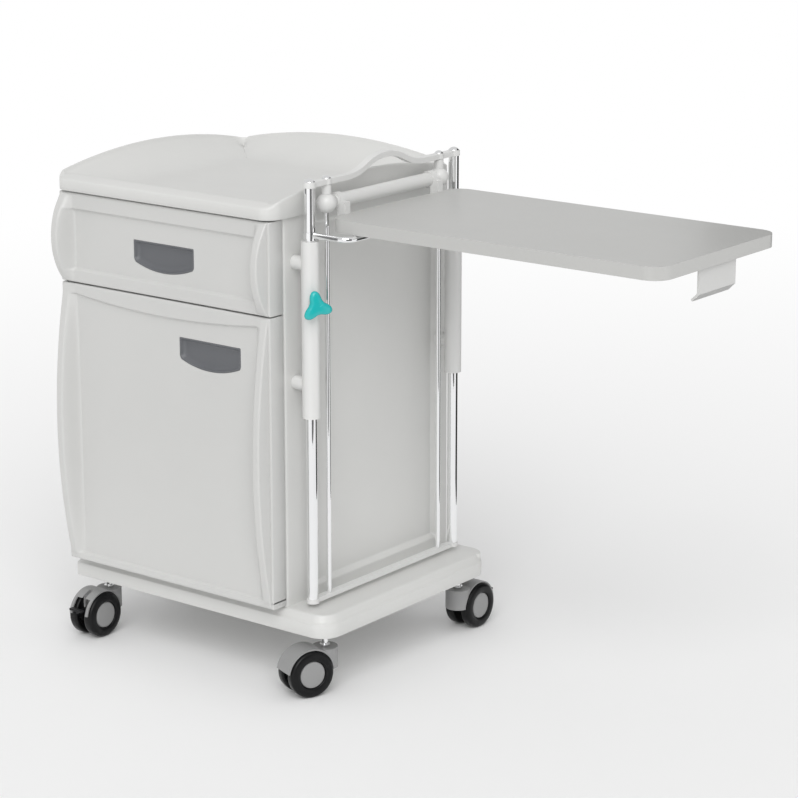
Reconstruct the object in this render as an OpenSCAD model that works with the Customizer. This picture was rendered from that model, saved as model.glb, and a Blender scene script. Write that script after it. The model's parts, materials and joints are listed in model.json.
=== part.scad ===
// Bedside cabinet on twin-wheel casters with a drawer, a door and a lift-up over-bed table.
// Millimetres, +Z up, front towards -Y, table side towards +X.

/* [Body] */
// width of the cabinet and its fronts
body_w = 437; // [364:1:525]
// depth of the carcass behind the fronts
body_d = 418; // [360:1:500]
// height of the carcass between base and tray
body_h = 618; // [515:1:742]
// height of the drawer front
drawer_h = 144; // [120:1:173]
// drawer travel
drawer_travel = 300; // [230:1:330]
// thickness of the moulded side walls
wall = 18; // [15:0.1:22]

/* [Base] */
// how far the base reaches past the cabinet on the table side
base_reach = 87; // [75:1:130]
// thickness of the base moulding
base_h = 36; // [30:1:44]
// clear height under the base
base_z = 97.5; // [95:0.5:110]
// diameter of the caster wheels
wheel_d = 75; // [70:1:78]
// swivel axis to wheel axle
trail = 34; // [30:1:36]

/* [Lift frame] */
// gap between side wall and post axis
post_gap = 31; // [28:1:42]
// distance between the two lift posts
post_span = 363; // [320:1:440]
// diameter of the lift posts
post_d = 17; // [14:0.1:20.5]
// diameter of the inner guide rods
rod_d = 8; // [6:0.5:10]
// how far the post tops stand above the cabinet walls
frame_top = 54.5; // [50:0.5:110]
// length of the fixed sleeves
sleeve_l = 276; // [200:1:300]

/* [Table] */
// length of the table board
board_l = 591; // [480:1:700]
// width of the table board
board_w = 326; // [290:1:400]
// thickness of the table board
board_t = 20; // [16:1:24]
// how far the support loop reaches out from the posts
loop_reach = 73; // [60:1:110]

/* [Hidden] */
$fn = 64;
gap = 0.3;
run = 0.08;
// carcass limits
base_x0 = -268;
xl = -256;
xr = xl + body_w;
xm = (xl + xr) / 2;
yf = -208;
yb = yf + body_d;
base_x1 = xr + base_reach;
base_xm = (base_x0 + base_x1) / 2;
base_y0 = yf - 10;
base_y1 = yb + 2;
deck = base_z + base_h;
z0 = deck;
ztop = z0 + body_h;
post_top = ztop + frame_top;
base_r = 35;
corner_r = 7;
// fronts
front_y = -212;
skin_y = -236;
rail_y = -241;
front_top = ztop - 3;
drawer_z0 = front_top - drawer_h;
door_top = drawer_z0 - 4;
door_z0 = z0 + 3.5;
door_h = door_top - door_z0;
fin_w = 30;
fin_rise = 26;
liner_t = 4;
ledge = 4;
pocket_d = 15;
rail_bow = 12;
pull_w = 126;
pull_h = 47;
pull_z_dr = front_top - 60;
pull_z_door = door_top - 55;
pull_x_dr = xm;
pull_x_door = xr - 63 - pull_w / 2;
// pivot of the door
piv_x = xl + 9;
piv_y = -227;
piv_r = 3;
// inside
in_l = xl + wall;
in_r = xr - wall;
div_t = 12;
div_z = drawer_z0 - 12;
floor_t = 10;
shelf_t = 12;
peg_r = 2.5;
head_in = 3.5;
shelf_z = z0 + 0.44 * (div_z - z0);
catch_z = div_z - 129;
// drawer box and runners
run_gap = 13;
box_l = in_l + run_gap;
box_r = in_r - run_gap;
box_z0 = drawer_z0 + 12;
box_z1 = ztop - 16;
box_d = 375;
box_y0 = front_y;
box_y1 = box_y0 + box_d;
screw_x = [box_l + 60, box_r - 60];
screw_z = box_z0 + 70;
run_z = drawer_z0 + 62;
run_y0 = yf + 10;
run_l = 360;
// tray
tray_o = 8;
tray_y0 = -246;
tray_t = 5;
lip_h = 20;
arch_h = 25;
arch_rise = 25;
// lift frame
px = xr + post_gap;
py = post_span / 2;
ry = py - 40;
bar_w = 12;
bar_h = 9;
collar_t = 1.4;
foot_z = deck + 7;
foot_h = 7;
post_z0 = foot_z + 3;
sleeve_r = 14;
sleeve_z1 = post_top - 90;
sleeve_z0 = sleeve_z1 - sleeve_l;
stub_z = [sleeve_z0 + 52, sleeve_z1 - 36];
knob_z = sleeve_z0 + 180;
knob_a = -30;
// table
tilt_z = post_top - 38;
tube_r = 11;
ball_r = 15.5;
bracket_w = 12;
bracket_y = ry - ball_r - 3 - bracket_w / 2;
board_top = tilt_z - 18;
board_x0 = px + 18;
board_x1 = board_x0 + board_l;
loop_r = 4.7;
loop_z = board_top - board_t - loop_r - gap;
foot_x = px + loop_reach - loop_r - 2.5;
foot_screws = [for (k = [0.25, 0.8]) board_x0 + 4 + k * (foot_x - board_x0 - 4)];
// casters
cx = (base_x1 - base_x0) / 2 - 36;
cy = (base_y1 - base_y0) / 2 - 40;
cym = (base_y0 + base_y1) / 2;
wr = wheel_d / 2;
axle_r = 4;
stem_r = 5;
hood_r = wr + 3.5;
head_z1 = wr * 2 - 2;
tab_out = 10;
// shift that puts the origin under the middle of the whole object
fin_y = rail_y - fin_rise;
ox = (base_x0 + board_x1) / 2;
oy = (fin_y + cym + cy + trail + wr + tab_out) / 2;

// ---- shared shapes ----

module place() {
  translate([-ox, -oy, 0]) children();
}

// box from low corner to high corner
module bx(a, b) {
  translate(a) cube([b[0] - a[0], b[1] - a[1], b[2] - a[2]]);
}

// plate with rounded upright corners
module slab(x0, x1, y0, y1, z, t, r) {
  translate([0, 0, z]) linear_extrude(t) rr(x0, x1, y0, y1, r);
}

// rounded rectangle outline
module rr(x0, x1, y0, y1, r) {
  translate([x0 + r, y0]) square([x1 - x0 - 2 * r, y1 - y0]);
  translate([x0, y0 + r]) square([x1 - x0, y1 - y0 - 2 * r]);
  for (x = [x0 + r, x1 - r]) for (y = [y0 + r, y1 - r]) translate([x, y]) circle(r);
}

// upright cylinder
module cyl(x, y, z, r, h) {
  translate([x, y, z]) cylinder(r = r, h = h);
}

// cylinder along X, Y
module cyl_x(x, y, z, r, h) {
  translate([x, y, z]) rotate([0, 90, 0]) cylinder(r = r, h = h);
}
module cyl_y(x, y, z, r, h) {
  translate([x, y, z]) rotate([-90, 0, 0]) cylinder(r = r, h = h);
}

// concave strip of radius r in the angle between two faces, profile in XY, height h
module cove(r, h) {
  linear_extrude(h) difference() {
    translate([-0.5, -0.5]) square(r + 0.5);
    translate([r, r]) circle(r);
  }
}

// ---- cabinet ----

module base_plate() color([0.86, 0.86, 0.84]) place() {
  difference() {
    union() {
      slab(base_x0 + 3, base_x1 - 3, base_y0 + 3, base_y1 - 3, base_z, base_h, base_r - 3);
      slab(base_x0, base_x1, base_y0, base_y1, base_z, base_h - 6, base_r);
      // nearly square corners on the side away from the table
      slab(base_x0 + 3, base_xm, base_y0 + 3, base_y1 - 3, base_z, base_h, corner_r - 3);
      slab(base_x0, base_xm, base_y0, base_y1, base_z, base_h - 6, corner_r);
    }
    // hollow underside
    slab(base_x0 + 10, base_x1 - 10, base_y0 + 10, base_y1 - 10, base_z - 1, base_h - 11, base_r - 10);
  }
  // bosses for the caster stems
  for (x = [-cx, cx]) for (y = [-cy, cy]) difference() {
    cyl(base_xm + x, cym + y, base_z, 19, base_h - 5);
    cyl(base_xm + x, cym + y, base_z - 1, stem_r + 0.02, 25);
  }
  // stiffening ribs
  for (x = [-cx, cx]) bx([base_xm + x - 2, cym - cy + 17, base_z + 4],
    [base_xm + x + 2, cym + cy - 17, base_z + base_h - 5]);
  for (y = [-cy, cy]) bx([base_xm - cx + 17, cym + y - 2, base_z + 4],
    [base_xm + cx - 17, cym + y + 2, base_z + base_h - 5]);
  for (x = [-80, 80]) bx([base_xm + x - 2, cym - cy, base_z + 4],
    [base_xm + x + 2, cym + cy, base_z + base_h - 5]);
  // concave skirt from the deck up to the side wall on the table side
  translate([xr + 0.5 + gap, base_y1 - 6, deck]) rotate([90, 0, 0]) cove(14, base_y1 - base_y0 - 16);
}

module side_panel(out) {
  // out = -1 left wall, 1 right wall
  x_out = out > 0 ? xr : xl;
  x_in = out > 0 ? in_r : in_l;
  rec = 9;
  difference() {
    bx([min(x_out, x_in), yf, z0], [max(x_out, x_in), yb, ztop]);
    // shallow recess with coved upright edges
    difference() {
      bx([min(x_out, x_out - out * rec), yf + 36, z0 + 22],
        [max(x_out, x_out - out * rec), yb - 34, ztop - 22]);
      for (y = [yf + 36, yb - 34]) translate([x_out - out * rec, y, z0])
        scale([out, y < 0 ? 1 : -1, 1]) cove(rec - 0.5, body_h);
    }
    // recess skin cut just past the face
    bx([x_out - 0.01, yf + 36 + rec, z0 + 22], [x_out + 0.01, yb - 34 - rec, ztop - 22]);
    // rebate for the back panel
    bx([min(x_in - 1 * (out > 0 ? 1 : 0), x_in + (out > 0 ? 6 : -6)), yb - 8, z0 - 1],
      [max(x_in + (out > 0 ? 0 : 1), x_in + (out > 0 ? 6 : -6)), yb - 2, ztop + 1]);
    // holes for the shelf pegs
    for (y = [yf + 60, yb - 60]) cyl_x(x_in - 8, y, shelf_z - peg_r, peg_r + 0.02, 16);
    // screw holes for the sleeve stubs
    if (out > 0) for (s = [-1, 1]) for (z = stub_z) {
      cyl_x(x_in - 1, s * py, z, 2.55, wall + 2);
      cyl_x(x_in - 1, s * py, z, 5.3, 1 + head_in);
    }
  }
}

module side_panel_left() color([0.85, 0.85, 0.83]) place() side_panel(-1);

module side_panel_right() color([0.85, 0.85, 0.83]) place() side_panel(1);

module back_panel() color([0.8, 0.8, 0.78]) place()
  bx([in_l - 6 + gap, yb - 8 + gap, z0 + gap], [in_r + 6 - gap, yb - 2 - gap, ztop - gap]);

module cabinet_floor() color([0.83, 0.83, 0.81]) place()
  bx([in_l, yf + 3, z0], [in_r, yb - 8, z0 + floor_t]);

module divider() color([0.83, 0.83, 0.81]) place()
  bx([in_l, yf + 3, div_z], [in_r, yb - 8, div_z + div_t]);

module shelf() color([0.83, 0.83, 0.81]) place() {
  bx([in_l + 1, yf + 24, shelf_z], [in_r - 1, yb - 9, shelf_z + 4]);
  // stiffened rims
  bx([in_l + 1, yf + 24, shelf_z], [in_r - 1, yf + 30, shelf_z + shelf_t]);
  bx([in_l + 1, yb - 15, shelf_z], [in_r - 1, yb - 9, shelf_z + shelf_t]);
}

module shelf_pegs() color([0.75, 0.76, 0.78]) place()
  for (x = [in_l - 8, in_r - 8]) for (y = [yf + 60, yb - 60])
    cyl_x(x, y, shelf_z - peg_r, peg_r, 16);

// one gallery wall of the tray, drawn in XZ and pulled along Y
module gallery(len, rise, t) {
  arc_r = (len * len / 4 + rise * rise) / (2 * rise);
  translate([0, t, 0]) rotate([90, 0, 0]) linear_extrude(t) {
    translate([-len / 2, 0]) square([len, arch_h]);
    intersection() {
      translate([-len / 2, arch_h - 0.01]) square([len, rise]);
      translate([0, arch_h + rise - arc_r]) circle(arc_r, $fn = 180);
    }
  }
}

module top_tray() color([0.88, 0.88, 0.86]) place() {
  tx0 = xl - tray_o;
  tx1 = xr + tray_o;
  ty1 = yb + 2;
  gt = 9;
  fil = 20;
  z = ztop;
  intersection() {
    slab(tx0, tx1, tray_y0, ty1, z, 80, 26);
    union() {
      // floor
      bx([tx0, tray_y0, z], [tx1, ty1, z + tray_t]);
      // front lip with a sloped inner face
      translate([tx0, 0, z]) rotate([90, 0, 90]) linear_extrude(tx1 - tx0)
        polygon([[tray_y0, 0], [tray_y0, lip_h - 3], [tray_y0 + 3, lip_h], [tray_y0 + 18, lip_h + 5],
          [tray_y0 + 22, lip_h + 4], [tray_y0 + 46, tray_t], [tray_y0 + 46, 0]]);
      // arched back and side galleries
      translate([xm, ty1 - gt, z]) gallery(tx1 - tx0 - 16, arch_rise, gt);
      for (s = [-1, 1]) translate([xm + s * ((tx1 - tx0) / 2 - gt / 2), (tray_y0 + ty1) / 2, z])
        rotate([0, 0, 90]) translate([0, -gt / 2, 0]) gallery(ty1 - tray_y0 - 16, arch_rise, gt);
      // coved inner angles
      translate([tx0 + gt, tray_y0 + 20, z + tray_t]) rotate([-90, 0, 0])
        mirror([0, 1, 0]) cove(fil, ty1 - tray_y0 - 22);
      translate([tx1 - gt, ty1 - 2, z + tray_t]) rotate([-90, 0, 180])
        mirror([0, 1, 0]) cove(fil, ty1 - tray_y0 - 22);
      translate([tx0 + 2, ty1 - gt, z + tray_t]) rotate([90, 0, 90]) mirror([1, 0, 0])
        cove(fil, tx1 - tx0 - 4);
    }
  }
}

// fixed channel of a drawer runner on each wall
module runner_outers() color([0.7, 0.72, 0.74]) place() for (s = [-1, 1]) {
  x = s > 0 ? in_r : in_l;
  translate([x, run_y0, run_z]) scale([-s, 1, 1]) chan(0, 10, 22.5, 1.5, run_l);
}

module runner_mids() color([0.66, 0.68, 0.7]) place() for (s = [-1, 1]) {
  x = s > 0 ? in_r : in_l;
  translate([x, run_y0 + 2, run_z]) scale([-s, 1, 1]) chan(2, 10.6, 20.4, 1.5, run_l - 4);
}

module runner_inners() color([0.7, 0.72, 0.74]) place() for (s = [-1, 1]) {
  x = s > 0 ? in_r : in_l;
  translate([x, run_y0 + 4, run_z]) scale([-s, 1, 1])
    translate([run_gap, 0, 0]) mirror([1, 0, 0]) chan(0, 8.6, 18.2, 1.5, run_l - 8);
}

// channel opening towards +X from x0 to x1, half height h, sheet t, length l along Y
module chan(x0, x1, h, t, l) {
  bx([x0, 0, -h], [x0 + t, l, h]);
  for (z = [-h, h - t]) bx([x0, 0, z], [x1, l, z + t]);
}

module guide_sleeves() color([0.9, 0.9, 0.88]) place() for (s = [-1, 1]) difference() {
  union() {
    cyl(px, s * py, sleeve_z0, sleeve_r, sleeve_l);
    for (z = stub_z) cyl_x(xr + gap, s * py, z, 11, px - xr);
    if (s < 0) translate([px, -py, knob_z]) rotate([0, 0, knob_a]) cyl_x(0, 0, 0, 8, 20);
  }
  cyl(px, s * py, sleeve_z0 - 1, post_d / 2 + run, sleeve_l + 2);
  for (z = stub_z) cyl_x(xr - 1, s * py, z, 2.52, 14);
  if (s < 0) translate([px, -py, knob_z]) rotate([0, 0, knob_a]) cyl_x(0, 0, 0, 4 + run, 30);
}

module sleeve_screws() color([0.75, 0.76, 0.78]) place()
  for (s = [-1, 1]) for (z = stub_z) {
    cyl_x(in_r + head_in - 3, s * py, z, 5, 3);
    cyl_x(in_r + head_in - 1, s * py, z, 2.5, wall + 13 - head_in);
  }

// pivot brackets: a leaf on the wall edge, a tongue and a pin
module door_pivots() color([0.72, 0.73, 0.75]) place() {
  for (top = [0, 1]) {
    z = top ? door_top + 0.9 : door_z0 - 3.1;
    bx([xl + 3, piv_y - 5, z], [xl + 15, yf, z + 2.2]);
    bx([xl + 3, yf - 2, top ? z - 24 : z], [xl + 15, yf, top ? z + 2.2 : z + 26]);
    cyl(piv_x, piv_y, top ? z - 9 : z, piv_r, 11.2);
  }
}

module door_catch() color([0.35, 0.36, 0.38]) place() {
  bx([in_r - 16, yf + 1.5, catch_z], [in_r, yf + 17, catch_z + 48]);
}

module caster_stems() color([0.8, 0.81, 0.83]) place()
  for (x = [-cx, cx]) for (y = [-cy, cy]) {
    cyl(base_xm + x, cym + y, head_z1 - 23, stem_r, base_z + 23 - head_z1 + 23);
    cyl(base_xm + x, cym + y, head_z1 + 1, stem_r + 3, 3);
  }

// ---- fronts ----

// crescent fin: a ring segment lying across the front edge
module fin(z_lo, z_hi, out) {
  h = z_hi - z_lo;
  r = (h * h / 4 + fin_rise * fin_rise) / (2 * fin_rise);
  a = asin(h / 2 / r);
  zm = (z_lo + z_hi) / 2;
  x = out > 0 ? xr : xl;
  low = r - (skin_y - rail_y) - fin_rise - 3;
  intersection() {
    translate([x, rail_y - fin_rise + r, zm]) scale([-out, 1, 1]) rotate([0, 90, 0])
      rotate([0, 0, -90 - a]) rotate_extrude(angle = 2 * a, $fn = 360)
        polygon([[low, 0], [r - 3, 0], [r - 0.8, 0.8], [r, 3], [r, 14], [r - 1, 16.5],
          [r - 4, 18.5], [r - 21, 24], [r - 28, 27], [low, fin_w]]);
    bx([xl - 1, rail_y - fin_rise - 1, z_lo], [xr + 1, skin_y + 1, z_hi]);
  }
}

// D-shaped outline: straight top, short sides and a shallow bow at the bottom
module pull_shape(g) {
  bow = 13;
  w = pull_w - 2 * g;
  r = (w * w / 4 + bow * bow) / (2 * bow);
  translate([-w / 2, bow - pull_h]) square([w, pull_h - bow - g]);
  intersection() {
    translate([-w / 2, g - pull_h]) square([w, bow + 0.01]);
    translate([0, r + g - pull_h]) circle(r, $fn = 180);
  }
}

// upper rail of a front: straight, or with its lower edge bowed down in the middle
module upper_rail(z_hi, drop, bow) {
  if (bow > 0) {
    w = body_w - 2 * fin_w;
    r = (w * w / 4 + bow * bow) / (2 * bow);
    intersection() {
      bx([xl, rail_y, z_hi - drop - 14 - bow], [xr, skin_y + 1, z_hi]);
      union() {
        translate([xm, skin_y + 1, z_hi - drop - 8 - bow + r]) rotate([90, 0, 0])
          cylinder(r1 = r + 2, r2 = r - 2, h = skin_y - rail_y + 1, $fn = 360);
        bx([xl, rail_y, z_hi - drop], [xr, skin_y + 1, z_hi]);
      }
    }
  } else {
    translate([xl, 0, z_hi]) rotate([90, 0, 90]) linear_extrude(body_w)
      polygon([[skin_y + 1, -drop - 14], [skin_y, -drop - 14], [rail_y, -drop - 10],
        [rail_y, 0], [skin_y + 1, 0]]);
  }
}

// moulded front with a recessed panel, raised rails, two fins and a hollow back
module front(z_lo, z_hi, px0, pz, drop, bow, foot) {
  difference() {
    union() {
      bx([xl, skin_y, z_lo], [xr, front_y, z_hi]);
      // lower rail
      translate([xl, 0, z_lo]) rotate([90, 0, 90]) linear_extrude(body_w)
        polygon([[skin_y + 1, 0], [rail_y, 0], [rail_y, foot - 5], [skin_y, foot], [skin_y + 1, foot]]);
      upper_rail(z_hi, drop, bow);
      for (s = [-1, 1]) fin(z_lo, z_hi, s);
    }
    // pocket for the pull
    translate([px0, skin_y + pocket_d, pz]) rotate([90, 0, 0]) linear_extrude(40) pull_shape(0);
    // hollow back with a ledge round it, left full behind the pull
    difference() {
      union() {
        bx([xl + 22 + ledge, skin_y + 5, z_lo + 12 + ledge],
          [xr - 12 - ledge, front_y + 1, z_hi - 12 - ledge]);
        bx([xl + 22, front_y - liner_t, z_lo + 12], [xr - 12, front_y + 1, z_hi - 12]);
      }
      bx([px0 - pull_w / 2 - 4, skin_y, pz - pull_h - 4],
        [px0 + pull_w / 2 + 4, front_y - liner_t, pz + 4]);
    }
  }
}

module drawer_front() color([0.86, 0.86, 0.84]) place() {
  front(drawer_z0, front_top, pull_x_dr, pull_z_dr, 16, 0, 26);
  // bosses that the drawer screws bite into
  for (x = screw_x) difference() {
    cyl_y(x, skin_y + 4, screw_z, 7, front_y - skin_y - 4);
    cyl_y(x, front_y - 8, screw_z, 2.02, 9);
  }
}

module pull(px0, pz) {
  // cup with a scooped face and a thin rim, set in the pocket
  translate([px0, 0, pz]) difference() {
    translate([0, skin_y + pocket_d, 0]) rotate([90, 0, 0]) linear_extrude(pocket_d + 1) pull_shape(gap);
    intersection() {
      translate([0, skin_y + pocket_d - 4, 0]) rotate([90, 0, 0]) linear_extrude(30) pull_shape(4);
      translate([-pull_w, skin_y - 26, -16]) rotate([0, 90, 0]) cylinder(r = 38, h = 2 * pull_w, $fn = 128);
    }
  }
}

module drawer_pull() color([0.44, 0.45, 0.47]) place() pull(pull_x_dr, pull_z_dr);

module drawer_box() color([0.8, 0.8, 0.78]) place() difference() {
  bx([box_l, box_y0, box_z0], [box_r, box_y1, box_z1]);
  bx([box_l + 4, box_y0 + 5, box_z0 + 4], [box_r - 4, box_y1 - 4, box_z1 + 1]);
  for (x = screw_x) cyl_y(x, box_y0 - 1, screw_z, 2.02, 7);
}

module drawer_screws() color([0.75, 0.76, 0.78]) place()
  for (x = screw_x) {
    cyl_y(x, box_y0 + 5, screw_z, 4, 2.4);
    cyl_y(x, box_y0 - 6, screw_z, 2, 12);
  }

module door_panel() color([0.86, 0.86, 0.84]) place() difference() {
  front(door_z0, door_top, pull_x_door, pull_z_door, 8, rail_bow, 16);
  // relief beside the pivot leaves and bores for the pins
  bx([xl - 1, front_y - 0.8, door_z0 - 1], [xl + 20, front_y + 1, door_z0 + 30]);
  bx([xl - 1, front_y - 0.8, door_top - 30], [xl + 20, front_y + 1, door_top + 1]);
  for (z = [door_z0 - 1, door_top - 11]) cyl(piv_x, piv_y, z, piv_r + run, 12);
  // rounded hinge-side back edge
  difference() {
    bx([xl - 1, front_y - 5, door_z0 - 1], [xl + 5, front_y + 1, door_top + 1]);
    cyl(xl + 5, front_y - 5, door_z0 - 2, 5, door_h + 4);
  }
}

module door_liner() color([0.82, 0.82, 0.8]) place()
  bx([xl + 22 + gap, front_y - liner_t, door_z0 + 12 + gap], [xr - 12 - gap, front_y, door_top - 12 - gap]);

module door_pull() color([0.44, 0.45, 0.47]) place() pull(pull_x_door, pull_z_door);

module door_strike() color([0.7, 0.72, 0.74]) place()
  bx([in_r - 15, front_y, catch_z + 4], [in_r - 1, front_y + 1.2, catch_z + 44]);

// ---- lift frame ----

module lift_posts() color([0.8, 0.81, 0.83]) place()
  for (s = [-1, 1]) cyl(px, s * py, post_z0, post_d / 2, post_top - 6 - post_z0);

module guide_rods() color([0.8, 0.81, 0.83]) place()
  for (s = [-1, 1]) cyl(px, s * ry, post_z0, rod_d / 2, post_top - 6 - post_z0);

// wavy bar over the posts, with a hump in the middle
module top_bar() color([0.93, 0.93, 0.92]) place() {
  rise = 23;
  half = 96;
  f = 2 * atan(rise / half);
  r = half / 2 / sin(f);
  zc = post_top - bar_h / 2;
  difference() {
    union() {
      for (s = [-1, 1]) {
        bx([px - bar_w / 2, min(s * half, s * py), zc - bar_h / 2],
          [px + bar_w / 2, max(s * half, s * py), zc + bar_h / 2]);
        cyl(px, s * py, zc - bar_h / 2, post_d / 2 + collar_t, bar_h);
        cyl(px, s * ry, zc - bar_h / 2, rod_d / 2 + 4, bar_h);
        // counter arc and crest arc
        translate([px, s * half, zc + r]) scale([1, -s, 1]) rotate([0, 90, 0])
          rotate_extrude(angle = f, $fn = 240)
            translate([r - bar_h / 2, -bar_w / 2]) square([bar_h, bar_w]);
        translate([px, 0, zc + rise - r]) scale([1, -s, 1]) rotate([0, 90, 0])
          rotate([0, 0, 180]) rotate_extrude(angle = f, $fn = 240)
            translate([r - bar_h / 2, -bar_w / 2]) square([bar_h, bar_w]);
      }
    }
    for (s = [-1, 1]) {
      cyl(px, s * py, zc - bar_h, post_d / 2 + 0.02, bar_h + 0.5);
      cyl(px, s * ry, zc - bar_h, rod_d / 2 + 0.02, bar_h + 0.5);
    }
  }
}

module bottom_bar() color([0.93, 0.93, 0.92]) place() difference() {
  union() {
    bx([px - bar_w / 2, -py, foot_z], [px + bar_w / 2, py, foot_z + foot_h]);
    for (s = [-1, 1]) cyl(px, s * py, foot_z, post_d / 2 + collar_t, foot_h);
  }
  for (s = [-1, 1]) {
    cyl(px, s * py, post_z0, post_d / 2 + 0.02, 20);
    cyl(px, s * ry, post_z0, rod_d / 2 + 0.02, 20);
  }
}

// dome cap: a slice of a ball
module cap(x, y, r, h) {
  br = (r * r + h * h) / (2 * h);
  translate([x, y, post_top]) intersection() {
    translate([0, 0, h - br]) sphere(br);
    cylinder(r = r, h = h);
  }
}

module end_caps() color([0.7, 0.71, 0.73]) place() for (s = [-1, 1]) {
  cap(px, s * py, 9, 5);
  cap(px, s * ry, 7.5, 4.5);
}

module support_loop() color([0.8, 0.81, 0.83]) place() {
  bend = 18;
  lx = px + loop_reach;
  difference() {
    union() {
      for (s = [-1, 1]) {
        cyl(px, s * py, loop_z - loop_r, post_d / 2 + collar_t, 2 * loop_r);
        cyl_x(px + post_d / 2 + 1, s * py, loop_z, loop_r, lx - bend - px - post_d / 2 - 1);
        translate([lx - bend, s * (py - bend), loop_z]) rotate([0, 0, s > 0 ? 0 : -90])
          rotate_extrude(angle = 90) translate([bend, 0]) circle(loop_r);
      }
      cyl_y(lx, -(py - bend), loop_z, loop_r, 2 * (py - bend));
    }
    for (s = [-1, 1]) cyl(px, s * py, loop_z - 10, post_d / 2 + 0.02, 20);
  }
}

module rod_collars() color([0.92, 0.92, 0.91]) place() for (s = [-1, 1]) difference() {
  cyl(px, s * ry, tilt_z + ball_r - 2, 7.5, post_top - bar_h - gap - tilt_z - ball_r + 2);
  cyl(px, s * ry, tilt_z, rod_d / 2 + 0.02, 60);
  translate([px, s * ry, tilt_z]) sphere(ball_r + 0.05);
}

module slide_fittings() color([0.93, 0.93, 0.92]) place() for (s = [-1, 1]) difference() {
  translate([px, s * ry, tilt_z]) sphere(ball_r);
  cyl(px, s * ry, tilt_z - 30, rod_d / 2 + 0.02, 60);
  cyl_y(px, s > 0 ? ry - 30 : -ry + 6, tilt_z, 5 + run, 24);
}

// ---- table ----

module table_board() color([0.8, 0.8, 0.79]) place() {
  difference() {
    slab(board_x0, board_x1, -board_w / 2, board_w / 2, board_top - board_t, board_t, 30);
    // square inner corners and the bracket rebates
    for (s = [-1, 1]) bx([board_x0 - 1, s * bracket_y - bracket_w / 2 - 1, board_top - board_t - 1],
      [board_x0 + 4, s * bracket_y + bracket_w / 2 + 1, board_top + 1]);
    for (s = [-1, 1]) for (x = foot_screws) cyl(x, s * bracket_y, board_top - board_t - 1, 1.52, 13);
    for (s = [-1, 1]) cyl(board_x1 - 16, s * 30, board_top - board_t - 1, 1.52, 13);
  }
}

module tilt_tube() color([0.93, 0.93, 0.92]) place() {
  tl = ry - ball_r - 0.6;
  cyl_y(px, -tl, tilt_z, tube_r, 2 * tl);
  cyl_y(px, -ry + 7, tilt_z, 5, 2 * (ry - 7));
}

module tilt_brackets() color([0.93, 0.93, 0.92]) place() for (s = [-1, 1])
  translate([0, s * bracket_y - bracket_w / 2, 0]) difference() {
    union() {
      // ring round the tube, arm down to the board and foot under it
      cyl_y(px, 0, tilt_z, tube_r + 2.5, bracket_w);
      bx([px + 3, 0, board_top - board_t - 3], [board_x0 + 3.7, bracket_w, tilt_z]);
      bx([px + 3, 0, board_top - board_t - 3], [foot_x, bracket_w, board_top - board_t - gap]);
    }
    cyl_y(px, -1, tilt_z, tube_r + 0.02, bracket_w + 2);
    bx([px, -1, board_top - board_t - 4], [px + 6, bracket_w + 1, tilt_z - 12]);
    for (x = foot_screws) cyl(x, bracket_w / 2, board_top - board_t - 5, 1.7, 6);
  }

// steel plate hooked under the far edge, with a lip folded back
module grip_hook() color([0.86, 0.86, 0.85]) place() {
  hz = board_top - board_t;
  hx = board_x1 - 6;
  difference() {
    translate([0, 50, 0]) rotate([90, 0, 0]) linear_extrude(100)
      polygon([[hx, hz - gap], [hx, hz - 38], [hx - 11, hz - 49], [hx - 13.5, hz - 46.5],
        [hx - 3.5, hz - 36.5], [hx - 3.5, hz - 3], [hx - 26, hz - 3], [hx - 26, hz - gap]]);
    for (s = [-1, 1]) cyl(board_x1 - 16, s * 30, hz - 10, 1.7, 12);
  }
}

module table_screws() color([0.75, 0.76, 0.78]) place() {
  for (s = [-1, 1]) for (x = foot_screws) wood_screw(x, s * bracket_y);
  for (s = [-1, 1]) wood_screw(board_x1 - 16, s * 30);
}

module wood_screw(x, y) {
  cyl(x, y, board_top - board_t - 5, 3.2, 2);
  cyl(x, y, board_top - board_t - 4, 1.5, 15);
}

// ---- clamp ----

module clamp() {
  translate([px, -py, knob_z]) rotate([0, 0, knob_a]) children();
}

module clamp_knob() color([0.12, 0.72, 0.7]) place() clamp() difference() {
  union() {
    cyl_x(21, 0, 0, 12, 14);
    for (a = [12, 132, 252]) rotate([a, 0, 0]) {
      cyl_x(24, 0, 17.5, 8, 10);
      bx([24, -8, 0], [34, 8, 17.5]);
    }
  }
  cyl_x(10, 0, 0, 4.02, 18);
}

module clamp_stud() color([0.72, 0.73, 0.75]) place() clamp()
  cyl_x(post_d / 2 + gap, 0, 0, 4, 28 - post_d / 2 - gap);

// ---- casters: local frame with the swivel axis at the origin and the wheels towards -Y ----

module caster(x, y, a) {
  place() translate([base_xm + x, cym + y, 0]) rotate([0, 0, a]) children();
}
module at_fl() { caster(-cx, -cy, 0) children(); }
module at_fr() { caster(cx, -cy, -22) children(); }
module at_rr() { caster(cx, cy, 180) children(); }
module at_rl() { caster(-cx, cy, 158) children(); }

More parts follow.
